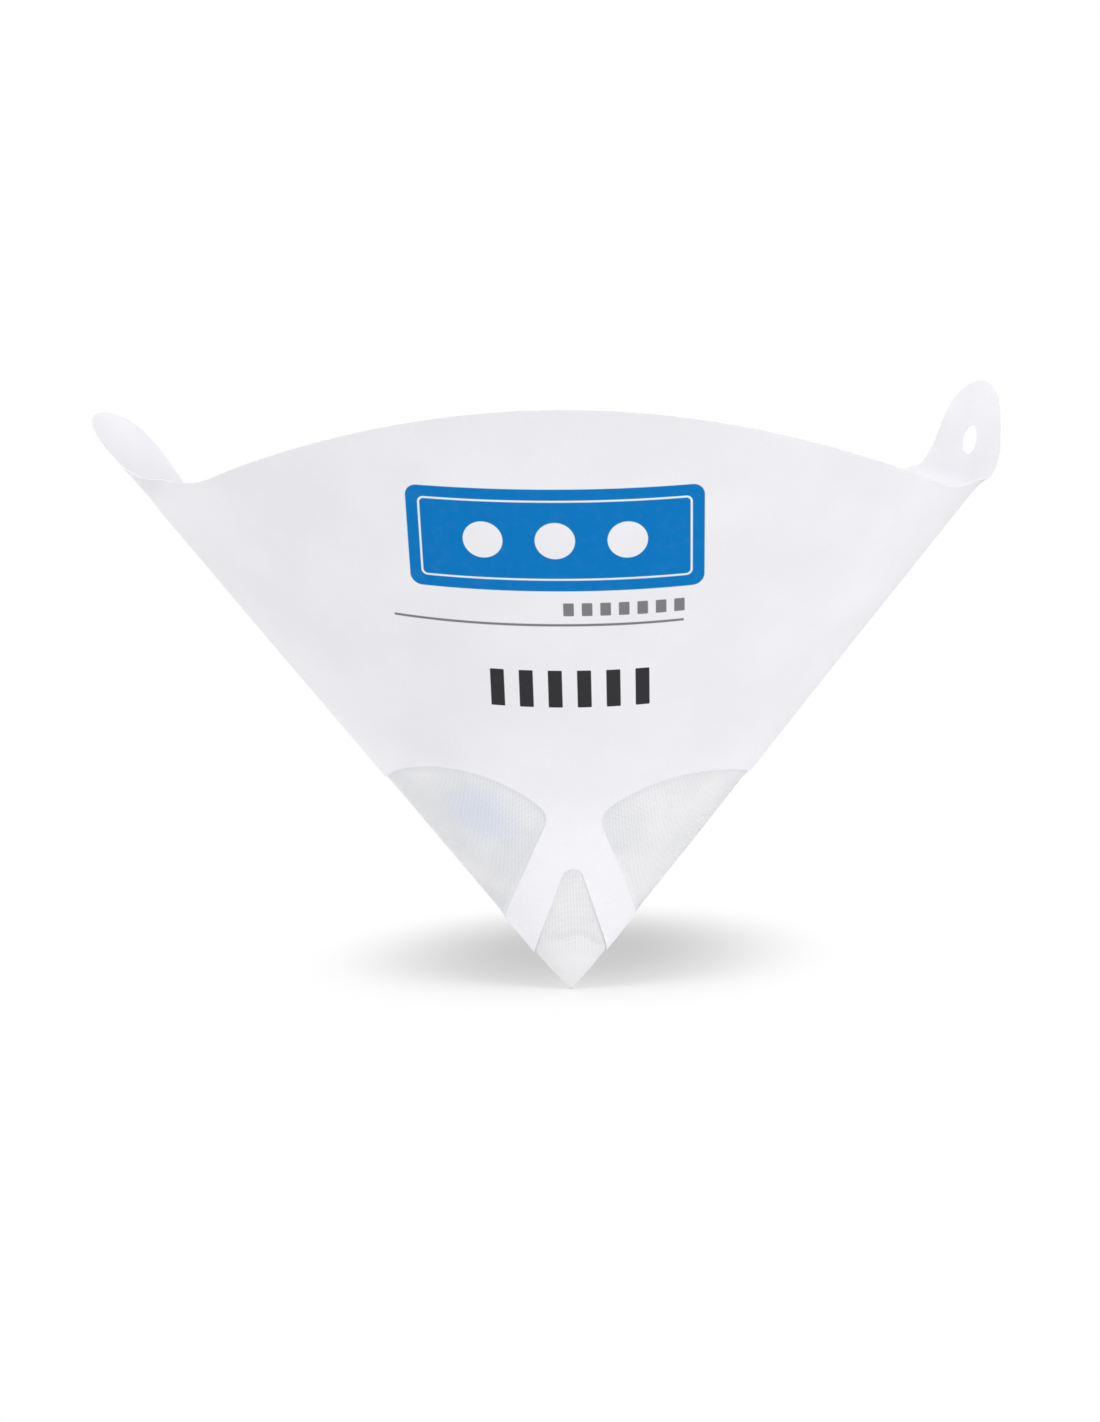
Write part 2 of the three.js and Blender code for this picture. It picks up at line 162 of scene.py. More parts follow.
# Packing folds and slow waves of the paper, and the lift of its upper ply in thicknesses.
LAP_LIFT = 1.08
FOLD_WIDTH = 3.5 * MM
WAVE_SIZE = 45 * MM
WAVE_SEED = 3.1
WAVE_OVER_NYLON = 0.15
WAVE_REACH = 30 * MM
RELIEF_SHORT = 4 * MM
RELIEF_FADE = 10 * MM

# Print, in millimetres of the flat blank: across the print's middle line and along it.
PRINT_TURN = -2.2 * DEGREE
FIELD_MIDDLE = (-0.5, 119.8)
FIELD_HALF = (32.0, 12.1)
FIELD_CORNER = 2.6
FRAME_INSET = 2.6
FRAME_LINE = 0.45
FRAME_CORNER = 1.4
FRAME_INNER_CORNER = 1.0
DISC_RADIUS = 4.3
DISC_STEP = 15.5
DISC_COUNT = 3
RULE_MIDDLE = (-5.0, 99.4)
RULE_HALF = (32.0, 0.3)
TICK_HALF = (1.15, 1.6)
TICK_MIDDLE = (14.0, 103.2)
TICK_STEP = 4.0
TICK_COUNT = 7
BAR_HALF = (1.55, 4.7)
BAR_MIDDLE = (1.8, 83.4)
BAR_STEP = 6.4
BAR_COUNT = 6
INK_EDGE = 0.09
INK_CORNER = 0.25
FIELD_DENSITY = 0.98
FIELD_MOTTLE = 0.04
RULE_DENSITY = 0.92
BAR_DENSITY = 0.97
INK_GLOSS = 0.22

# Tones and surface of the bare paper, with painted light that makes it whitest at its foot.
FOOT_PAINTED_LIGHT_START = 38.0
FOOT_PAINTED_LIGHT_END = 68.0
FOOT_PAINTED_LIGHT_SHARE = 1.06
CLOUD_SCALE = 38.0
CLOUD_RANGE = (0.3, 0.7)
CLOUD_SHARE = 0.955
FIBRE_SCALE = 1500.0
FIBRE_HEIGHT = 0.6
GRAIN_SCALE = 420.0
GRAIN_HEIGHT = 0.4
FLECK_RANGE = (0.56, 0.75)
FLECK_STRENGTH = 0.5
FLECK_SHARE = 0.93
PAPER_ROUGHNESS = 0.72
ROUGHNESS_MOTTLE = 0.12
PAPER_SHEEN = 0.03
PAPER_BUMP = 0.35
PAPER_BUMP_DEPTH = 0.05 * MM
NOISE_DETAIL = 3.0
FIBRE_DETAIL = 4.0

# Stage.
WHITE = (1, 1, 1, 1)
FLOOR_HALF = 40.0

# Oval round the shadow, and the shares of it between which the floor turns to plain white.
SHADOW_MIDDLE = (-0.005, 0.06)
SHADOW_HALF = (0.071, 0.108)
SHADOW_FADE_START = 0.16
SHADOW_FADE_END = 1.0

# Square lamps: share of the power, size, place and aim.
LAMPS = {
    "lamp_above": (1.0, 0.45, (0.05, -0.5, 0.95), (0, 0.02, 0.05)),
    "lamp_right": (1.48, 0.7, (1.05, -0.6, 0.25), (0, 0, 0.07)),
    "lamp_left": (1.05, 0.7, (-1.1, -0.6, 0.3), (0, 0, 0.07)),
    "lamp_behind": (0.6, 0.3, (-0.95, 0.7, 0.4), (0, 0, 0.07)),
}

# Camera of the photograph.
IMAGE_HEIGHT = 1422
FOCAL_PIXELS = 2551.29
SENSOR = 36.0
VIEW_AZIMUTH = 5.84 * DEGREE
VIEW_ELEVATION = 3.0 * DEGREE
VIEW_ROLL = -1.0584 * DEGREE
VIEW_DISTANCE = 0.6
VIEW_OFFSET = -3.6757 * MM
VIEW_HEIGHT = 65.896 * MM
CLIP_NEAR = 0.01
CLIP_FAR = 200


class StrainerPaper(bpy.types.PropertyGroup):
    """Sizes and colours of the paper."""

    thickness: FloatProperty(
        name="Thickness",
        description="Thickness of the paper",
        default=0.24 * MM,
        unit="LENGTH",
        precision=5,
    )
    crease: FloatProperty(
        name="Crease",
        description="How far the flat-packing fold stands out of the wall",
        default=0.35 * MM,
        unit="LENGTH",
        precision=5,
    )
    waviness: FloatProperty(
        name="Waviness",
        description="Depth of the slow waves that thin paper takes up",
        default=0.22 * MM,
        unit="LENGTH",
        precision=5,
    )
    colour: FloatVectorProperty(
        name="Paper",
        description="Colour of the bare paper",
        default=(0.905, 0.9, 0.93),
        subtype="COLOR",
        min=0,
        max=1,
    )
    field_ink: FloatVectorProperty(
        name="Field ink",
        description="Colour of the printed field",
        default=(0.004, 0.19, 0.54),
        subtype="COLOR",
        min=0,
        max=1,
    )
    rule_ink: FloatVectorProperty(
        name="Rule ink",
        description="Colour of the thin printed rule",
        default=(0.16, 0.16, 0.175),
        subtype="COLOR",
        min=0,
        max=1,
    )
    bar_ink: FloatVectorProperty(
        name="Bar ink",
        description="Colour of the printed bars",
        default=(0.012, 0.012, 0.014),
        subtype="COLOR",
        min=0,
        max=1,
    )


class StrainerNylon(bpy.types.PropertyGroup):
    """Sizes and colours of the nylon cone."""

    pitch: FloatProperty(
        name="Pitch",
        description="Distance between neighbouring threads",
        default=0.34 * MM,
        unit="LENGTH",
        precision=5,
    )
    colour: FloatVectorProperty(
        name="Nylon",
        description="Colour of the threads",
        default=(0.965, 0.965, 0.975),
        subtype="COLOR",
        min=0,
        max=1,
    )
    # Painted shade: colour of the darker band along the glued edges under each window's top.
    glue_and_shade: FloatVectorProperty(
        name="Glue",
        description="Colour of the mesh where glue has soaked it",
        default=(0.84, 0.85, 0.9),
        subtype="COLOR",
        min=0,
        max=1,
    )
    shade: FloatVectorProperty(
        name="Shade",
        description="Colour of the bluish patch in one window",
        default=(0.76, 0.81, 0.95),
        subtype="COLOR",
        min=0,
        max=1,
    )


class StrainerStage(bpy.types.PropertyGroup):
    """Light and floor."""

    sky: FloatProperty(
        name="Sky",
        description="Strength of the even light from all round",
        default=0.41,
        min=0,
    )
    lamp: FloatProperty(
        name="Lamp",
        description="Power of a soft lamp whose share is 1",
        default=4.4,
        subtype="POWER",
        min=0,
    )
    floor_lift: FloatProperty(
        name="Floor lift",
        description="White added to the floor as the camera sees it",
        default=0.03,
        min=0,
    )
    floor: FloatVectorProperty(
        name="Floor",
        description="Colour of the floor",
        default=(0.86, 0.86, 0.86),
        subtype="COLOR",
        min=0,
        max=1,
    )


def unit(vectors):
    """Each row brought to length one."""
    return vectors / np.linalg.norm(vectors, axis=-1, keepdims=True)


def make_section():
    """Unrolled angles and unit directions of the generators round the oval section."""
    turn = np.linspace(0, 2 * math.pi, SECTION_STEPS + 1)
    x = HALF_WIDTH_RATIO * np.sin(turn)
    y = -HALF_DEPTH_RATIO * np.cos(turn)
    directions = unit(np.stack([x, y, np.ones_like(x)], axis=-1))
    chords = np.linalg.norm(np.diff(directions, axis=0), axis=-1)
    flat = np.concatenate([[0.0], np.cumsum(2 * np.arcsin(chords / 2))])
    return flat, directions


SECTION_FLAT, SECTION_DIRECTIONS = make_section()
SECTION_TOTAL = SECTION_FLAT[-1]
QUARTER = SECTION_TOTAL / 4
EAR_ROOT = SLANT - RIM_DROP
EAR_ANGLE = QUARTER + EAR_SETBACK / SLANT
MESH_APEX = TIP_NOSE - TIP_SLANT / math.hypot(1, HALF_DEPTH_RATIO)
PAPER_APEX = MESH_APEX - MESH_GAP * math.hypot(1, 1 / HALF_DEPTH_RATIO)


def generator(angle):
    """Unit directions of the generators at unrolled angles from the front."""
    wrapped = np.mod(angle, SECTION_TOTAL)
    columns = [np.interp(wrapped, SECTION_FLAT, SECTION_DIRECTIONS[:, i]) for i in range(3)]
    return unit(np.stack(columns, axis=-1))


def frame_at(angle):
    """Generator, direction across it and outward normal."""
    along = generator(angle)
    across = unit(generator(angle + SLOPE_STEP) - generator(angle - SLOPE_STEP))
    return along, across, unit(np.cross(across, along))


def smooth(value):
    """Eased step from 0 to 1."""
    t = np.clip(value, 0, 1)
    return t * t * (3 - 2 * t)


def flat_point(along, across, angle):
    """Flat point from a local frame whose axis leaves the apex at an angle."""
    x = along * math.sin(angle) + across * math.cos(angle)
    y = along * math.cos(angle) - across * math.sin(angle)
    return x, y


def arc(along, across, radius, start, stop, angle):
    """Flat points of an arc, with angles measured from the local frame's axis."""
    count = max(3, round(abs(stop - start) * radius / EDGE_SPACING))
    points = []
    for i in range(count + 1):
        turn = start + (stop - start) * i / count
        x = along + radius * math.cos(turn)
        y = across + radius * math.sin(turn)
        points.append(flat_point(x, y, angle))
    return points


def ear_outline(angle):
    """Round tip, tapered sides and the fillets that lead an ear into the rim."""
    down = Vector((-math.cos(EAR_TAPER), math.sin(EAR_TAPER)))
    top = EAR_ROOT + EAR_LENGTH - EAR_TIP
    reach = EAR_TIP + EAR_FILLET
    fillet = Vector((top + reach * math.sin(EAR_TAPER), reach * math.cos(EAR_TAPER)))
    along = fillet.dot(down)
    rim = EAR_ROOT + EAR_FILLET
    fillet += down * (-along - math.sqrt(along * along - fillet.length_squared + rim * rim))
    lean = math.atan2(fillet.y, fillet.x)
    side = math.pi / 2 - EAR_TAPER
    return (
        arc(fillet.x, -fillet.y, EAR_FILLET, math.pi - lean, math.pi - side, angle)
        + arc(top, 0, EAR_TIP, -side, side, angle)
        + arc(fillet.x, fillet.y, EAR_FILLET, side - math.pi, lean - math.pi, angle)
    )


def arch_side(direction, angle):
    """Half of an arch's round top."""
    centre = ARCH_PEAK - ARCH_CORNER / math.sin(ARCH_HALF_ANGLE)
    return arc(centre, 0, ARCH_CORNER, 0, direction * (math.pi / 2 - ARCH_HALF_ANGLE), angle)


def leg_foot(angle):
    """Rounded foot of a leg."""
    slope = math.pi / 2 - (QUARTER + ARCH_HALF_ANGLE)
    corner = ARCH_PEAK * math.sin(ARCH_HALF_ANGLE) / math.sin(QUARTER + ARCH_HALF_ANGLE)
    centre = corner + LEG_CORNER / math.cos(slope)
    return arc(centre, 0, LEG_CORNER, math.pi - slope, math.pi + slope, angle)


def rim_arc(start, stop):
    """The rim, highest in the middle of the front and back."""
    points = []
    count = round((stop - start) * SLANT / EDGE_SPACING)
    for i in range(count + 1):
        angle = start + (stop - start) * i / count
        away = min(abs(angle), abs(2 * QUARTER - angle)) / RIM_DROP_ANGLE
        slant = SLANT - RIM_DROP * math.sin(min(1, away) * math.pi / 2) ** 2
        points.append((slant * math.sin(angle), slant * math.cos(angle)))
    return points


def window_outline(angle):
    """Window with a flat top, round shoulders and rounded corners."""
    normal = Vector((math.cos(WINDOW_FLARE), -math.sin(WINDOW_FLARE)))
    edge = Vector((math.sin(WINDOW_FLARE), math.cos(WINDOW_FLARE)))
    centre = Vector((WINDOW_TOP - WINDOW_SHOULDER, WINDOW_FLAT_TOP / 2))
    start = Vector((WINDOW_FOOT, 0)) - centre + normal * WINDOW_CORNER
    inner = WINDOW_SHOULDER - WINDOW_CORNER
    middle = start.dot(edge)
    corner = start + edge * (-middle + math.sqrt(middle * middle - start.length_squared + inner * inner))
    lean = math.atan2(corner.y, corner.x)
    side = corner + centre
    foot = WINDOW_FOOT + WINDOW_FOOT_CORNER / math.cos(WINDOW_FLARE)
    low = math.pi - WINDOW_FLARE
    high = math.pi + WINDOW_FLARE
    return (
        arc(centre.x, -centre.y, WINDOW_SHOULDER, -lean, 0, angle)
        + arc(centre.x, centre.y, WINDOW_SHOULDER, 0, lean, angle)
        + arc(side.x, side.y, WINDOW_CORNER, lean, low, angle)[1:]
        + arc(foot, 0, WINDOW_FOOT_CORNER, low, high, angle)
        + arc(side.x, -side.y, WINDOW_CORNER, high, 2 * math.pi - lean, angle)[:-1]
    )


def half_outline(lap):
    """Edge of one half of the blank, from the front rim round to the front arch."""
    ear = ear_outline(EAR_ANGLE)
    start = math.atan2(ear[0][0], ear[0][1])
    stop = math.atan2(ear[-1][0], ear[-1][1])
    back = 2 * QUARTER
    foot = ARCH_PEAK + LAP_FOOT_RAISE
    return (
        rim_arc(0, start)[:-1]
        + ear
        + rim_arc(stop, back + math.asin(lap / SLANT))[1:]
        + [flat_point(foot + lap, lap, back), flat_point(foot, 0, back)]
        + arch_side(-1, back)
        + leg_foot(QUARTER)
        + arch_side(1, 0)[::-1]
    )


def mirrored(points):
    """The same outline on the other side of the blank's middle line."""
    return [(-x, y) for x, y in points]


def refined(ring):
    """A ring of points with its long straight runs divided."""
    points = []
    for (x0, y0), (x1, y1) in zip(ring, ring[1:] + ring[:1]):
        steps = max(1, round(math.hypot(x1 - x0, y1 - y0) / EDGE_SPACING))
        for i in range(steps):
            points.append((x0 + (x1 - x0) * i / steps, y0 + (y1 - y0) * i / steps))
    return points


def inside(ring, x, y):
    """Which of the points lie inside the ring."""
    result = np.zeros(len(x), dtype=bool)
    for (x0, y0), (x1, y1) in zip(ring, ring[1:] + ring[:1]):
        if y0 == y1:
            continue
        crosses = (y0 > y) != (y1 > y)
        result ^= crosses & (x < (x1 - x0) * (y - y0) / (y1 - y0) + x0)
    return result


def blank_rings():
    """Outer edge of the blank, then its windows and the punched hole."""
    right = half_outline(LAP_OVER)
    left = mirrored(half_outline(LAP_UNDER))
    outer = right[:-1] + left[::-1][:-1]
    hole = arc(EAR_ROOT + EAR_HOLE_HEIGHT, 0, EAR_HOLE / 2, 0, 2 * math.pi, EAR_ANGLE)[:-1]
    window = window_outline(QUARTER)
    return [refined(ring) for ring in (outer, window, mirrored(window), hole)]


def blank_mesh():
    """Flat vertices and triangles of the die-cut blank."""
    rings = blank_rings()
    points = [p for ring in rings for p in ring]
    tree = kdtree.KDTree(len(points))
    for i, (x, y) in enumerate(points):
        tree.insert((x, y, 0), i)
    tree.balance()
    edges = []
    first = 0
    for ring in rings:
        edges += [(first + i, first + (i + 1) % len(ring)) for i in range(len(ring))]
        first += len(ring)
    corner = np.array(points)
    columns = np.arange(corner[:, 0].min(), corner[:, 0].max(), GRAIN)
    rows = np.arange(corner[:, 1].min(), corner[:, 1].max(), GRAIN * math.sin(math.pi / 3))
    x = np.concatenate([columns + (i % 2) * GRAIN / 2 for i in range(len(rows))])
    y = np.repeat(rows, len(columns))
    kept = inside(rings[0], x, y)
    for ring in rings[1:]:
        kept &= ~inside(ring, x, y)
    for px, py in zip(x[kept], y[kept]):
        if tree.find((px, py, 0))[2] > CLEAR_OF_EDGE:
            points.append((px, py))
    made = delaunay_2d_cdt([Vector(p) for p in points], edges, [], 0, MERGE_DISTANCE)
    vertices = np.array([tuple(v) for v in made[0]])
    faces = np.array([tuple(f) for f in made[2]])
    centres = vertices[faces].mean(axis=1)
    kept = inside(rings[0], centres[:, 0], centres[:, 1])
    for ring in rings[1:]:
        kept &= ~inside(ring, centres[:, 0], centres[:, 1])
    faces = faces[kept]
    a, b, c = (vertices[faces[:, i]] for i in range(3))
    turned = (b[:, 0] - a[:, 0]) * (c[:, 1] - a[:, 1]) < (b[:, 1] - a[:, 1]) * (c[:, 0] - a[:, 0])
    faces[turned] = faces[turned][:, ::-1]
    return vertices, faces


def ear_lean(ear, height):
    """Lean of an ear towards the inside at a height above its root."""
    return (ear["fold"] * smooth(height / EAR_FOLD_REACH) + ear["curl"] * height / EAR_LENGTH) * DEGREE


def rotated(vectors, axis, angle):
    """Vectors turned about unit axes, one axis and angle to each row."""
    cosine = np.cos(angle)[:, None]
    sine = np.sin(angle)[:, None]
    share = np.sum(vectors * axis, axis=-1, keepdims=True)
    return vectors * cosine + np.cross(axis, vectors) * sine + axis * share * (1 - cosine)


def ear_place(ear, along, across):
    """Points and normals of an ear that is folded in, curled, turned and flattened."""
    centre = ear["side"] * EAR_ANGLE + PATTERN_TURN
    root_along, root_across, root_out = frame_at(np.array(centre))
    spread = [frame_at(np.array(centre + step))[2] for step in (-BEND_STEP, BEND_STEP)]
    bend = math.acos(min(1, float(np.dot(*spread)))) / (2 * BEND_STEP * SLANT)
    height = np.maximum(0, along - EAR_ROOT)
    spine = np.tile(root_along * EAR_ROOT, (len(along), 1))
    for i in range(SPINE_STEPS):
        lean = ear_lean(ear, height * (i + 0.5) / SPINE_STEPS)
        step = (height / SPINE_STEPS)[:, None]
        spine += step * (np.cos(lean)[:, None] * root_along - np.sin(lean)[:, None] * root_out)
    lean = ear_lean(ear, height)[:, None]
    out = np.cos(lean) * root_out + np.sin(lean) * root_along
    axis = np.cos(lean) * root_along - np.sin(lean) * root_out
    share = height / EAR_LENGTH
    curve = bend * (1 - ear["flatten"] * smooth(2 * share))
    turn = (curve * across)[:, None]
    place = root_across * np.sin(turn) / curve[:, None] + out * (np.cos(turn) - 1) / curve[:, None]
    normal = out * np.cos(turn) + root_across * np.sin(turn)
    twist = ear["side"] * ear["twist"] * DEGREE * np.sin(np.minimum(1, share) * math.pi / 2)
    return spine + rotated(place, axis, twist), rotated(normal, axis, twist)


def relief(flat, settings):
    """How far the wall stands out of the true cone: the packing folds and slow waves of the paper."""
    slant = np.hypot(flat[:, 0], flat[:, 1])
    angle = np.arctan2(flat[:, 0], flat[:, 1])
    share = slant / SLANT
    from_fold = slant * np.sin(np.abs(angle) - QUARTER)
    fade = 1 - smooth((slant - SLANT + RELIEF_SHORT) / RELIEF_FADE)
    fold = settings.crease * share * np.exp(-np.abs(from_fold) / FOLD_WIDTH) * fade
    waves = [noise.noise(Vector((x, y, WAVE_SEED))) for x, y in flat / WAVE_SIZE]
    free = smooth((slant - MESH_SLANT) / WAVE_REACH) * fade
    return fold + settings.waviness * np.array(waves) * (WAVE_OVER_NYLON + (1 - WAVE_OVER_NYLON) * free)


def rolled(flat, height, settings):
    """Flat points at heights through the sheet, rolled onto the cone."""
    slant = np.hypot(flat[:, 0], flat[:, 1])
    angle = np.arctan2(flat[:, 0], flat[:, 1])
    along, _, out = frame_at(angle + PATTERN_TURN)
    point = along * slant[:, None]
    normal = out.copy()
    for ear in (RIGHT_EAR, LEFT_EAR):
        local = ear["side"] * angle
        up = slant * np.cos(local - EAR_ANGLE)
        near = (local > 0) & (up > EAR_ROOT)
        across = ear["side"] * slant[near] * np.sin(local[near] - EAR_ANGLE)
        bent, leaning = ear_place(ear, up[near], across)
        blend = smooth((up[near] - EAR_ROOT) / EAR_BLEND)[:, None]
        point[near] += (bent - point[near]) * blend
        normal[near] = unit(normal[near] + (leaning - normal[near]) * blend)
    past = slant * np.sin(angle - 2 * QUARTER) + LAP_UNDER + LAP_EASE
    lapped = np.where(angle > QUARTER, smooth(past / LAP_RAMP + 1), 0)
    lift = height + lapped * settings.thickness * LAP_LIFT + relief(flat, settings)
    point = point + normal * lift[:, None]
    point[:, 2] += PAPER_APEX
    return point


def glue_tree():
    """The paper's edges over the nylon, to find the nearest of them."""
    edges = [p for ring in blank_rings()[:3] for p in ring if math.hypot(*p) < MESH_SLANT]
    tree = kdtree.KDTree(len(edges))
    for i, (x, y) in enumerate(edges):
        tree.insert((x, y, 0), i)
    tree.balance()
    return tree


def nylon_row(slant, angles, tree):
    """Outer points, inner points and cloth places of the nylon at one slant."""
    along, _, out = frame_at(angles)
    turn = np.mod(angles - PATTERN_TURN + SECTION_TOTAL / 2, SECTION_TOTAL) - SECTION_TOTAL / 2
    flat = np.column_stack([slant * np.sin(turn), slant * np.cos(turn)])
    gap = np.array([tree.find((x, y, 0))[2] for x, y in flat])
    glue_and_shade = 1 - smooth(gap / GLUE_REACH)
    wander = DENT_WANDER * np.sin(angles * DENT_WAVES * 2 * math.pi / SECTION_TOTAL)
    dent = DENT_DEPTH * np.exp(-(((slant - DENT_SLANT - wander) / DENT_WIDTH) ** 2))
    spots = along[:, :2] * slant / SAG_SIZE
    sag = 1 + np.array([noise.noise(Vector((x, y, SAG_SEED))) for x, y in spots])
    sag *= SAG_DEPTH * min(1, slant / SAG_START)
    seated = smooth((slant - MESH_FREE_SLANT) / (MESH_SEATED_SLANT - MESH_FREE_SLANT))
    push = seated * ((PAPER_APEX - MESH_APEX) * out[:, 2] - MESH_CLEARANCE)
    depth = (dent + sag) * (1 - glue_and_shade) - push
    outer = along * slant - out * depth[:, None]
    outer[:, 2] += MESH_APEX
    return outer, outer - out * MESH_THICKNESS, np.column_stack([flat / MM, glue_and_shade])


def nylon_faces():
    """Faces of the closed double wall, whose last two vertices are the tips of its two sides."""
    size = MESH_ROWS * MESH_COLUMNS
    top = size - MESH_COLUMNS
    faces = []
    for i in range(MESH_COLUMNS):
        j = (i + 1) % MESH_COLUMNS
        for first in range(0, top, MESH_COLUMNS):
            a = first + i
            b = first + j
            faces.append((a, b, b + MESH_COLUMNS, a + MESH_COLUMNS))
            faces.append((a + size, a + MESH_COLUMNS + size, b + MESH_COLUMNS + size, b + size))
        faces.append((top + i, top + j, top + j + size, top + i + size))
        faces.append((2 * size, j, i))
        faces.append((2 * size + 1, size + i, size + j))
    return faces


def add_piece(name, vertices, faces, material):
    """A smooth shaded mesh object that rides on the one body."""
    data = bpy.data.meshes.new(name)
    data.from_pydata([tuple(v) for v in vertices], [], [tuple(int(i) for i in f) for f in faces])
    data.materials.append(material)
    data.polygons.foreach_set("use_smooth", [True] * len(data.polygons))
    data.update()
    piece = bpy.data.objects.new(name, data)
    bpy.context.scene.collection.objects.link(piece)
    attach(piece, "root")
    return piece


def add_places(piece, name, places):
    """Stores one vector a vertex for the material to read."""
    attribute = piece.data.attributes.new(name, "FLOAT_VECTOR", "POINT")
    attribute.data.foreach_set("vector", np.asarray(places, dtype=np.float32).ravel())


def boundary(faces):
    """Directed edges that only one triangle has."""
    edges = set()
    for a, b, c in faces:
        edges.update(((a, b), (b, c), (c, a)))
    return [(a, b) for a, b in edges if (b, a) not in edges]


def sheet_faces(vertices, faces):
    """Faces of a closed sheet whose two sides have the same triangles, all turned outwards."""
    count = len(vertices) // 2
    whole = [(c, b, a) for a, b, c in faces]
    whole += [(a + count, b + count, c + count) for a, b, c in faces]
    for a, b in boundary(faces):
        whole += [(b, a, a + count), (b, a + count, b + count)]
    corners = vertices[np.array(whole)]
    volume = np.sum(corners[:, 0] * np.cross(corners[:, 1], corners[:, 2]))
    return [face[::-1] for face in whole] if volume < 0 else whole


class Value:
    """A shader value that takes part in arithmetic."""

    def __init__(self, shader, socket):
        self.shader = shader
        self.socket = socket

    def __add__(self, other):
        return self.shader.math("ADD", self, other)

    def __sub__(self, other):
        return self.shader.math("SUBTRACT", self, other)

    def __rsub__(self, other):
        return self.shader.math("SUBTRACT", other, self)

    def __mul__(self, other):
        return self.shader.math("MULTIPLY", self, other)

    def __truediv__(self, other):
        return self.shader.math("DIVIDE", self, other)

    def __abs__(self):
        return self.shader.math("ABSOLUTE", self)

    __radd__ = __add__
    __rmul__ = __mul__


class Shader:
    """The nodes of one material or world."""

    def __init__(self, owner):
        owner.use_nodes = True
        self.tree = owner.node_tree
        self.tree.nodes.clear()

    def node(self, kind, settings=None, **values):
        """A node with its settings, then the values or links of its sockets."""
        made = self.tree.nodes.new(kind)
        for name, value in (settings or {}).items():
            setattr(made, name, value)
        for name, value in values.items():
            key = int(name[1:]) if name[0] == "i" and name[1:].isdigit() else name.replace("_", " ")
            self.feed(made.inputs[key], value)
        return made

    def feed(self, socket, value):
        """Links or sets one socket."""
        if isinstance(value, Value):
            value = value.socket
        if isinstance(value, bpy.types.NodeSocket):
            self.tree.links.new(value, socket)
        else:
            socket.default_value = value

    def math(self, operation, *terms):
        """A Math node over values and numbers."""
        made = self.tree.nodes.new("ShaderNodeMath")
        made.operation = operation
        for socket, term in zip(made.inputs, terms):
            self.feed(socket, term)
        return Value(self, made.outputs[0])

    def length(self, across, along):
        """Length of a flat vector."""
        return self.math("SQRT", across * across + along * along)

    def ease(self, value, low, high):
        """Eased step of a value from low to high."""
        settings = {"interpolation_type": "SMOOTHSTEP"}
        made = self.node("ShaderNodeMapRange", settings, Value=value, From_Min=low, From_Max=high)
        return Value(self, made.outputs["Result"])

    def mix(self, share, first, second):
        """Mix of two colours."""
        made = self.node("ShaderNodeMix", {"data_type": "RGBA"}, i0=share, i6=first, i7=second)
        return made.outputs[2]

    def noise(self, vector, scale, detail=NOISE_DETAIL):
        """Noise between 0 and 1."""
        made = self.node("ShaderNodeTexNoise", None, Vector=vector, Scale=scale, Detail=detail)
        return Value(self, made.outputs["Fac"])

    def bump(self, strength, distance, height):
        """Normal of a surface with a fine relief."""
        made = self.node("ShaderNodeBump", None, Strength=strength, Distance=distance, Height=height)
        return made.outputs[0]

    def place(self):
        """Place on the object, in metres."""
        return self.node("ShaderNodeTexCoord").outputs["Object"]

    def parts(self, vector):
        """The three components of a vector."""
        made = self.node("ShaderNodeSeparateXYZ", None, Vector=vector)
        return [Value(self, made.outputs[axis]) for axis in "XYZ"]

    def stored(self, name):
        """The components of a vector that the mesh stores."""
        made = self.node("ShaderNodeAttribute", {"attribute_name": name})
        return self.parts(made.outputs["Vector"])

    def seen(self):
        """1 for the rays that the camera, a reflection or a clear sheet sends."""
        path = self.node("ShaderNodeLightPath").outputs
        camera = Value(self, path["Is Camera Ray"])
        glossy = Value(self, path["Is Glossy Ray"])
        clear = Value(self, path["Is Transmission Ray"])
        return self.math("MAXIMUM", self.math("MAXIMUM", camera, glossy), clear)


def rgba(colour, share=1.0):
    """A colour, lighter or darker by a share, as a socket takes it."""
    return (*(min(1.0, part * share) for part in colour), 1.0)


def box_mask(shader, x, y, middle, half, corner=INK_CORNER):
    """1 inside a rectangle with rounded corners, in millimetres of the flat print."""
    across = shader.math("MAXIMUM", abs(x - middle[0]) - (half[0] - corner), 0.0)
    along = shader.math("MAXIMUM", abs(y - middle[1]) - (half[1] - corner), 0.0)
    return 1 - shader.ease(shader.length(across, along) - corner, -INK_EDGE, INK_EDGE)


def row_mask(shader, x, y, middle, half, step, count):
    """1 inside each of a row of equal bars."""
    reach = step * count / 2
    local = x - (middle[0] - reach)
    cell = shader.math("MODULO", local, step) - step / 2
    within = box_mask(shader, x, y, middle, (reach, half[1]))
    return box_mask(shader, cell, y, (0.0, middle[1]), half) * within


def disc_mask(shader, x, y, centre, radius):
    """1 inside a disc."""
    away = shader.length(x - centre[0], y - centre[1])
    return 1 - shader.ease(away - radius, -INK_EDGE, INK_EDGE)


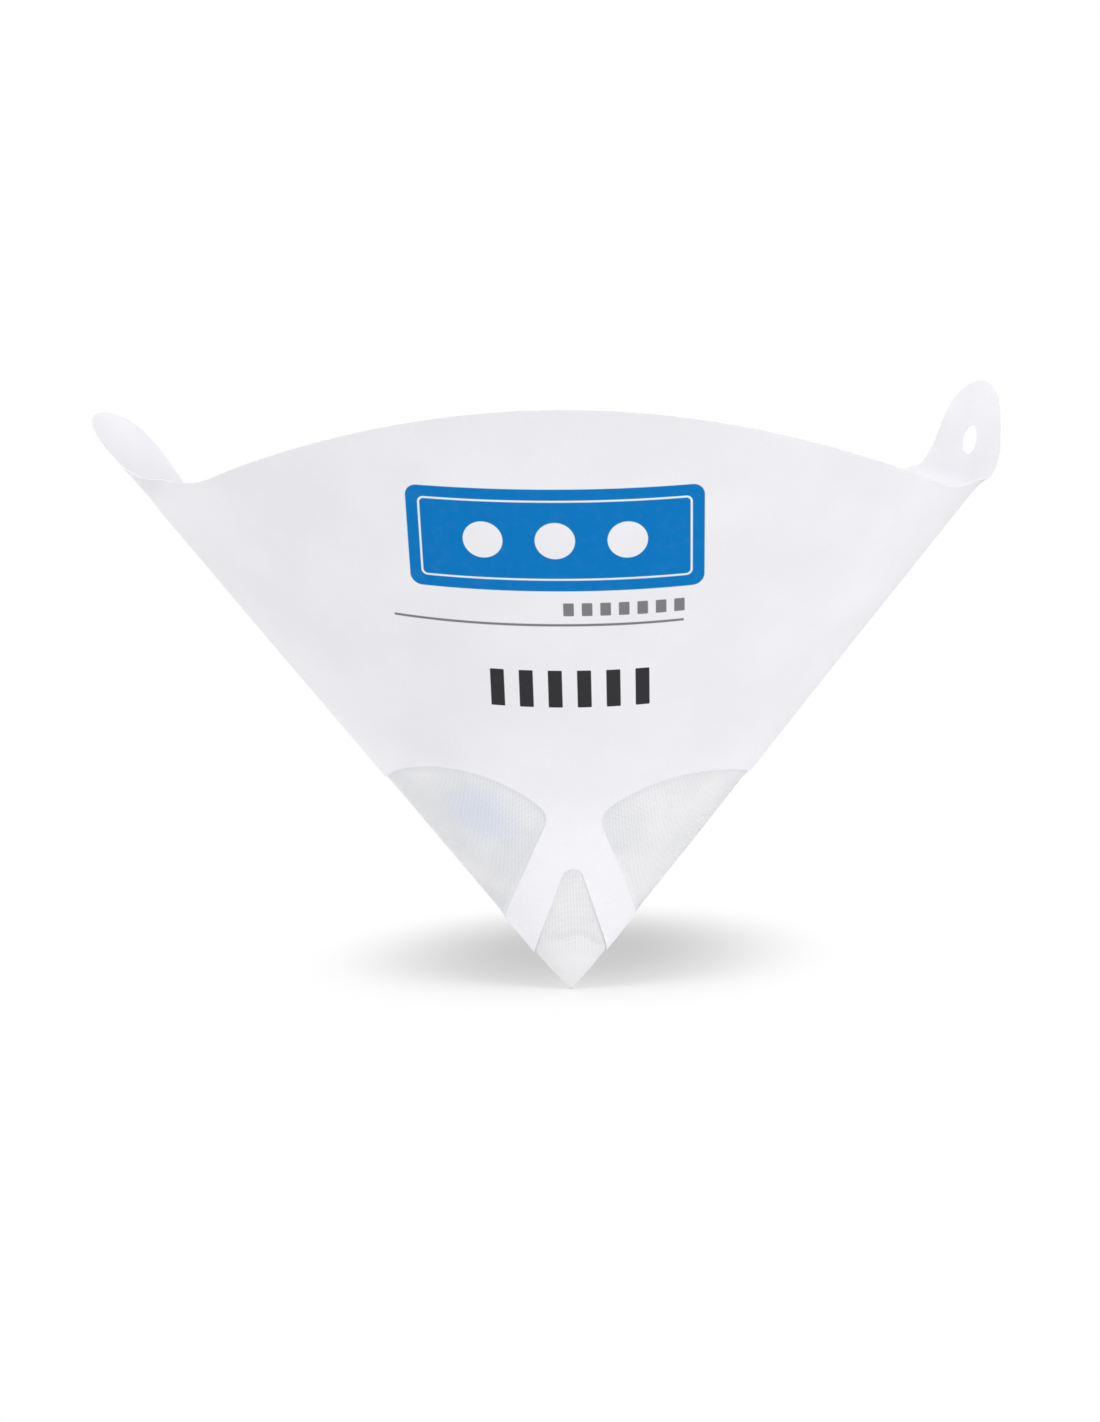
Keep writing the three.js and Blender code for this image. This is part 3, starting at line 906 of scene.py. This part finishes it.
def print_masks(shader, x, y):
    """1 on the printed field, on the rule with its squares, and on the bars."""
    field = box_mask(shader, x, y, FIELD_MIDDLE, FIELD_HALF, FIELD_CORNER)
    frame_half = [half - FRAME_INSET for half in FIELD_HALF]
    inner_half = [half - FRAME_LINE for half in frame_half]
    white = box_mask(shader, x, y, FIELD_MIDDLE, frame_half, FRAME_CORNER)
    white = white - box_mask(shader, x, y, FIELD_MIDDLE, inner_half, FRAME_INNER_CORNER)
    for i in range(DISC_COUNT):
        centre = (FIELD_MIDDLE[0] + (i - (DISC_COUNT - 1) / 2) * DISC_STEP, FIELD_MIDDLE[1])
        white = white + disc_mask(shader, x, y, centre, DISC_RADIUS)
    rule = box_mask(shader, x, y, RULE_MIDDLE, RULE_HALF)
    squares = row_mask(shader, x, y, TICK_MIDDLE, TICK_HALF, TICK_STEP, TICK_COUNT)
    bars = row_mask(shader, x, y, BAR_MIDDLE, BAR_HALF, BAR_STEP, BAR_COUNT)
    return field * (1 - white), rule + squares, bars


def paper_material(settings):
    """White paper with fibres, faint mottling, painted light at its foot and the print on its outer
    face.
    """
    material = bpy.data.materials.new("printed_paper")
    shader = Shader(material)
    x, y, outer = shader.stored("print_place")
    field, rule, bars = (mask * outer for mask in print_masks(shader, x, y))
    place = shader.place()
    cloud = shader.ease(shader.noise(place, CLOUD_SCALE), *CLOUD_RANGE)
    fibre = shader.noise(place, FIBRE_SCALE, FIBRE_DETAIL)
    grain = shader.noise(place, GRAIN_SCALE)
    # Painted light: the bare paper is made lighter towards its foot.
    foot = 1 - shader.ease(y, FOOT_PAINTED_LIGHT_START, FOOT_PAINTED_LIGHT_END)
    flecks = shader.ease(fibre, *FLECK_RANGE) * FLECK_STRENGTH
    colour = shader.mix(cloud, rgba(settings.colour, CLOUD_SHARE), rgba(settings.colour))
    colour = shader.mix(foot, colour, rgba(settings.colour, FOOT_PAINTED_LIGHT_SHARE))
    colour = shader.mix(flecks, colour, rgba(settings.colour, FLECK_SHARE))
    colour = shader.mix(field * (FIELD_DENSITY + grain * FIELD_MOTTLE), colour, rgba(settings.field_ink))
    colour = shader.mix(rule * RULE_DENSITY, colour, rgba(settings.rule_ink))
    colour = shader.mix(bars * BAR_DENSITY, colour, rgba(settings.bar_ink))
    height = fibre * FIBRE_HEIGHT + grain * GRAIN_HEIGHT
    surface = shader.node(
        "ShaderNodeBsdfPrincipled",
        None,
        Base_Color=colour,
        Roughness=PAPER_ROUGHNESS + grain * ROUGHNESS_MOTTLE - (field + rule + bars) * INK_GLOSS,
        Normal=shader.bump(PAPER_BUMP, PAPER_BUMP_DEPTH, height),
        Specular_IOR_Level=PAPER_SHEEN,
    )
    shader.node("ShaderNodeOutputMaterial", None, Surface=surface.outputs[0])
    return material


def nylon_colour(shader, settings, x, y, slant, low, glue_and_shade):
    """Colour of the nylon: faint clouds, a painted bluish shade patch and a painted shade band along the
    glue under a window's top.
    """
    cloud = shader.noise(shader.place(), NYLON_CLOUD_SCALE)
    pale = [part * share for part, share in zip(settings.colour, NYLON_PALE_SHARES)]
    clouded = shader.ease(cloud, *NYLON_CLOUD_RANGE) * (1 - low)
    colour = shader.mix(clouded, rgba(settings.colour), rgba(pale))
    # Painted shade: a soft bluish darker patch in one window.
    away = shader.length(x - SHADE_MIDDLE[0], y - SHADE_MIDDLE[1])
    shade = (1 - shader.ease(away, 0.0, SHADE_REACH)) * (SHADE_EVEN + cloud)
    colour = shader.mix(shade * SHADE_STRENGTH, colour, rgba(settings.shade))
    # Painted shade: the nylon is darkened in a band along the glued edges under each window's top.
    painted_shade_band = glue_and_shade * shader.ease(slant, PAINTED_SHADE_BAND_START, PAINTED_SHADE_BAND_END)
    return shader.mix(painted_shade_band * PAINTED_SHADE_BAND_STRENGTH, colour, rgba(settings.glue_and_shade))


def nylon_material(settings):
    """Fine woven nylon that lets some of what lies behind it show."""
    material = bpy.data.materials.new("nylon_weave")
    shader = Shader(material)
    x, y, glue_and_shade = shader.stored("cloth_place")
    pitch = settings.pitch / MM
    warp = shader.math("SINE", x * (2 * math.pi / pitch)) * 0.5 + 0.5
    weft = shader.math("SINE", y * (2 * math.pi / pitch)) * 0.5 + 0.5
    crossing = shader.math("SINE", x * (math.pi / pitch)) * shader.math("SINE", y * (math.pi / pitch))
    threads = shader.math("MAXIMUM", shader.ease(warp, *THREAD_RANGE), shader.ease(weft, *THREAD_RANGE))
    slant = shader.length(x, y)
    # Painted light: towards the tip the nylon is made lighter, with fewer clouds and a denser weave.
    low = 1 - shader.ease(slant, TIP_PAINTED_LIGHT_START, TIP_PAINTED_LIGHT_END)
    alpha = shader.math("MAXIMUM", OPEN_ALPHA + threads * THREAD_ALPHA, glue_and_shade * GLUE_ALPHA)
    height = shader.math("MAXIMUM", warp, weft) + crossing * CROSSING_HEIGHT
    surface = shader.node(
        "ShaderNodeBsdfPrincipled",
        None,
        Base_Color=nylon_colour(shader, settings, x, y, slant, low, glue_and_shade),
        Roughness=NYLON_ROUGHNESS - threads * THREAD_GLOSS,
        Alpha=shader.math("MAXIMUM", alpha, low * TIP_ALPHA),
        Normal=shader.bump(NYLON_BUMP, NYLON_BUMP_DEPTH, height),
        Specular_IOR_Level=NYLON_SHEEN,
    )
    shader.node("ShaderNodeOutputMaterial", None, Surface=surface.outputs[0])
    return material


def floor_material(settings):
    """Pale floor that the camera sees as white, apart from the shadow on it."""
    material = bpy.data.materials.new("studio_floor")
    shader = Shader(material)
    seen = shader.seen()
    matt = shader.node("ShaderNodeBsdfDiffuse", None, Color=rgba(settings.floor))
    lift = shader.node("ShaderNodeEmission", None, Color=WHITE, Strength=seen * settings.floor_lift)
    near = shader.node("ShaderNodeAddShader", None, i0=matt.outputs[0], i1=lift.outputs[0])
    x, y, _ = shader.parts(shader.place())
    across = (x - SHADOW_MIDDLE[0]) / SHADOW_HALF[0]
    along = (y - SHADOW_MIDDLE[1]) / SHADOW_HALF[1]
    far = shader.ease(shader.length(across, along), SHADOW_FADE_START, SHADOW_FADE_END) * seen
    white = shader.node("ShaderNodeEmission", None, Color=WHITE, Strength=1.0)
    both = shader.node("ShaderNodeMixShader", None, Fac=far, i1=near.outputs[0], i2=white.outputs[0])
    shader.node("ShaderNodeOutputMaterial", None, Surface=both.outputs[0])
    return material


class STRAINER_OT_paper(bpy.types.Operator):
    """Makes the printed paper cone."""

    bl_idname = "strainer.paper"
    bl_label = "Paper cone"

    def execute(self, context):
        settings = context.scene.strainer_paper
        flat, faces = blank_mesh()
        count = len(flat)
        inner = rolled(flat, np.zeros(count), settings)
        outer = rolled(flat, np.full(count, settings.thickness), settings)
        vertices = np.concatenate([inner, outer])
        material = paper_material(settings)
        piece = add_piece("paper_sheet", vertices, sheet_faces(vertices, faces), material)
        piece.data.set_sharp_from_angle(angle=PAPER_SHARP)
        turn = np.array(Matrix.Rotation(PRINT_TURN, 2))
        local = flat @ turn.T / MM
        places = [np.column_stack([local, np.full(count, side)]) for side in (0.0, 1.0)]
        add_places(piece, "print_place", np.concatenate(places))
        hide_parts("paper_cone")
        return {"FINISHED"}


class STRAINER_OT_nylon(bpy.types.Operator):
    """Makes the nylon cone that closes the tip."""

    bl_idname = "strainer.nylon"
    bl_label = "Nylon cone"

    def execute(self, context):
        settings = context.scene.strainer_nylon
        angles = np.arange(MESH_COLUMNS) * SECTION_TOTAL / MESH_COLUMNS
        slants = np.linspace(TIP_SLANT, MESH_SLANT, MESH_ROWS)
        tree = glue_tree()
        outer, inner, places = zip(*(nylon_row(slant, angles, tree) for slant in slants))
        tips = [(0, 0, 0), (0, 0, TIP_NOSE + MESH_THICKNESS)]
        vertices = np.concatenate([*outer, *inner, tips])
        piece = add_piece("nylon_mesh", vertices, nylon_faces(), nylon_material(settings))
        piece.data.set_sharp_from_angle(angle=NYLON_SHARP)
        add_places(piece, "cloth_place", np.concatenate([*places, *places, np.zeros((2, 3))]))
        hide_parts("mesh_filter")
        area = 0.5 * SECTION_TOTAL * MESH_SLANT**2
        over = math.sin(SECTION_TOTAL / 2 - math.pi / 2)
        return {"FINISHED"}


class STRAINER_OT_stage(bpy.types.Operator):
    """Makes the floor, the light and the camera."""

    bl_idname = "strainer.stage"
    bl_label = "Stage"

    def execute(self, context):
        settings = context.scene.strainer_stage
        self.add_floor(settings)
        self.add_world(context, settings)
        for name, (share, size, place, aim) in LAMPS.items():
            self.add_lamp(name, settings.lamp * share, size, place, aim)
        self.add_camera(context)
        context.scene.view_settings.view_transform = "Standard"
        return {"FINISHED"}

    def add_floor(self, settings):
        """A wide floor under the tip."""
        data = bpy.data.meshes.new("floor")
        corners = [(FLOOR_HALF * x, FLOOR_HALF * y, 0) for x, y in ((-1, -1), (1, -1), (1, 1), (-1, 1))]
        data.from_pydata(corners, [], [(0, 1, 2, 3)])
        data.materials.append(floor_material(settings))
        floor = bpy.data.objects.new("floor", data)
        bpy.context.scene.collection.objects.link(floor)

    def add_world(self, context, settings):
        """Even light from all round, seen as white."""
        world = bpy.data.worlds.new("studio")
        context.scene.world = world
        shader = Shader(world)
        strength = shader.seen() * (1 - settings.sky) + settings.sky
        sky = shader.node("ShaderNodeBackground", None, Color=WHITE, Strength=strength)
        shader.node("ShaderNodeOutputWorld", None, Surface=sky.outputs[0])

    def add_lamp(self, name, power, size, place, aim):
        """A large square soft lamp."""
        data = bpy.data.lights.new(name, "AREA")
        data.energy = power
        data.size = size
        lamp = bpy.data.objects.new(name, data)
        lamp.location = place
        direction = Vector(aim) - Vector(place)
        lamp.rotation_euler = direction.to_track_quat("-Z", "Y").to_euler()
        bpy.context.scene.collection.objects.link(lamp)

    def add_camera(self, context):
        """The camera of the photograph."""
        data = bpy.data.cameras.new("camera")
        data.sensor_width = SENSOR
        data.lens = FOCAL_PIXELS * SENSOR / IMAGE_HEIGHT
        data.clip_start = CLIP_NEAR
        data.clip_end = CLIP_FAR
        back = Vector((
            math.sin(VIEW_AZIMUTH) * math.cos(VIEW_ELEVATION),
            -math.cos(VIEW_AZIMUTH) * math.cos(VIEW_ELEVATION),
            math.sin(VIEW_ELEVATION),
        ))
        level = Vector((math.cos(VIEW_AZIMUTH), math.sin(VIEW_AZIMUTH), 0))
        rise = back.cross(level)
        right = level * math.cos(VIEW_ROLL) + rise * math.sin(VIEW_ROLL)
        up = rise * math.cos(VIEW_ROLL) - level * math.sin(VIEW_ROLL)
        target = level * VIEW_OFFSET + Vector((0, 0, VIEW_HEIGHT))
        place = target + back * VIEW_DISTANCE
        camera = bpy.data.objects.new("camera", data)
        camera.matrix_world = Matrix((right, up, back)).transposed().to_4x4()
        camera.location = place
        context.scene.collection.objects.link(camera)
        context.scene.camera = camera


class STRAINER_PT_panel(bpy.types.Panel):
    """Lists the steps and their sizes."""

    bl_idname = "STRAINER_PT_panel"
    bl_label = "Paper cone strainer"
    bl_space_type = "VIEW_3D"
    bl_region_type = "UI"
    bl_category = "Strainer"

    def draw(self, context):
        layout = self.layout
        for operator, group in (
            ("strainer.paper", "strainer_paper"),
            ("strainer.nylon", "strainer_nylon"),
            ("strainer.stage", "strainer_stage"),
        ):
            settings = getattr(context.scene, group)
            box = layout.box()
            box.operator(operator)
            for name in settings.__annotations__:
                box.prop(settings, name)


GROUPS = {
    "strainer_paper": StrainerPaper,
    "strainer_nylon": StrainerNylon,
    "strainer_stage": StrainerStage,
}
CLASSES = (
    *GROUPS.values(),
    STRAINER_OT_paper,
    STRAINER_OT_nylon,
    STRAINER_OT_stage,
    STRAINER_PT_panel,
)


def register():
    """Registers the classes and their settings."""
    for item in CLASSES:
        bpy.utils.register_class(item)
    for name, group in GROUPS.items():
        setattr(bpy.types.Scene, name, PointerProperty(type=group))


def unregister():
    """Takes the classes and their settings out again."""
    for name in GROUPS:
        delattr(bpy.types.Scene, name)
    for item in reversed(CLASSES):
        bpy.utils.unregister_class(item)


def main():
    """Makes every piece and the stage."""
    register()
    bpy.ops.strainer.paper()
    bpy.ops.strainer.nylon()
    bpy.ops.strainer.stage()


if __name__ == "__main__":
    main()
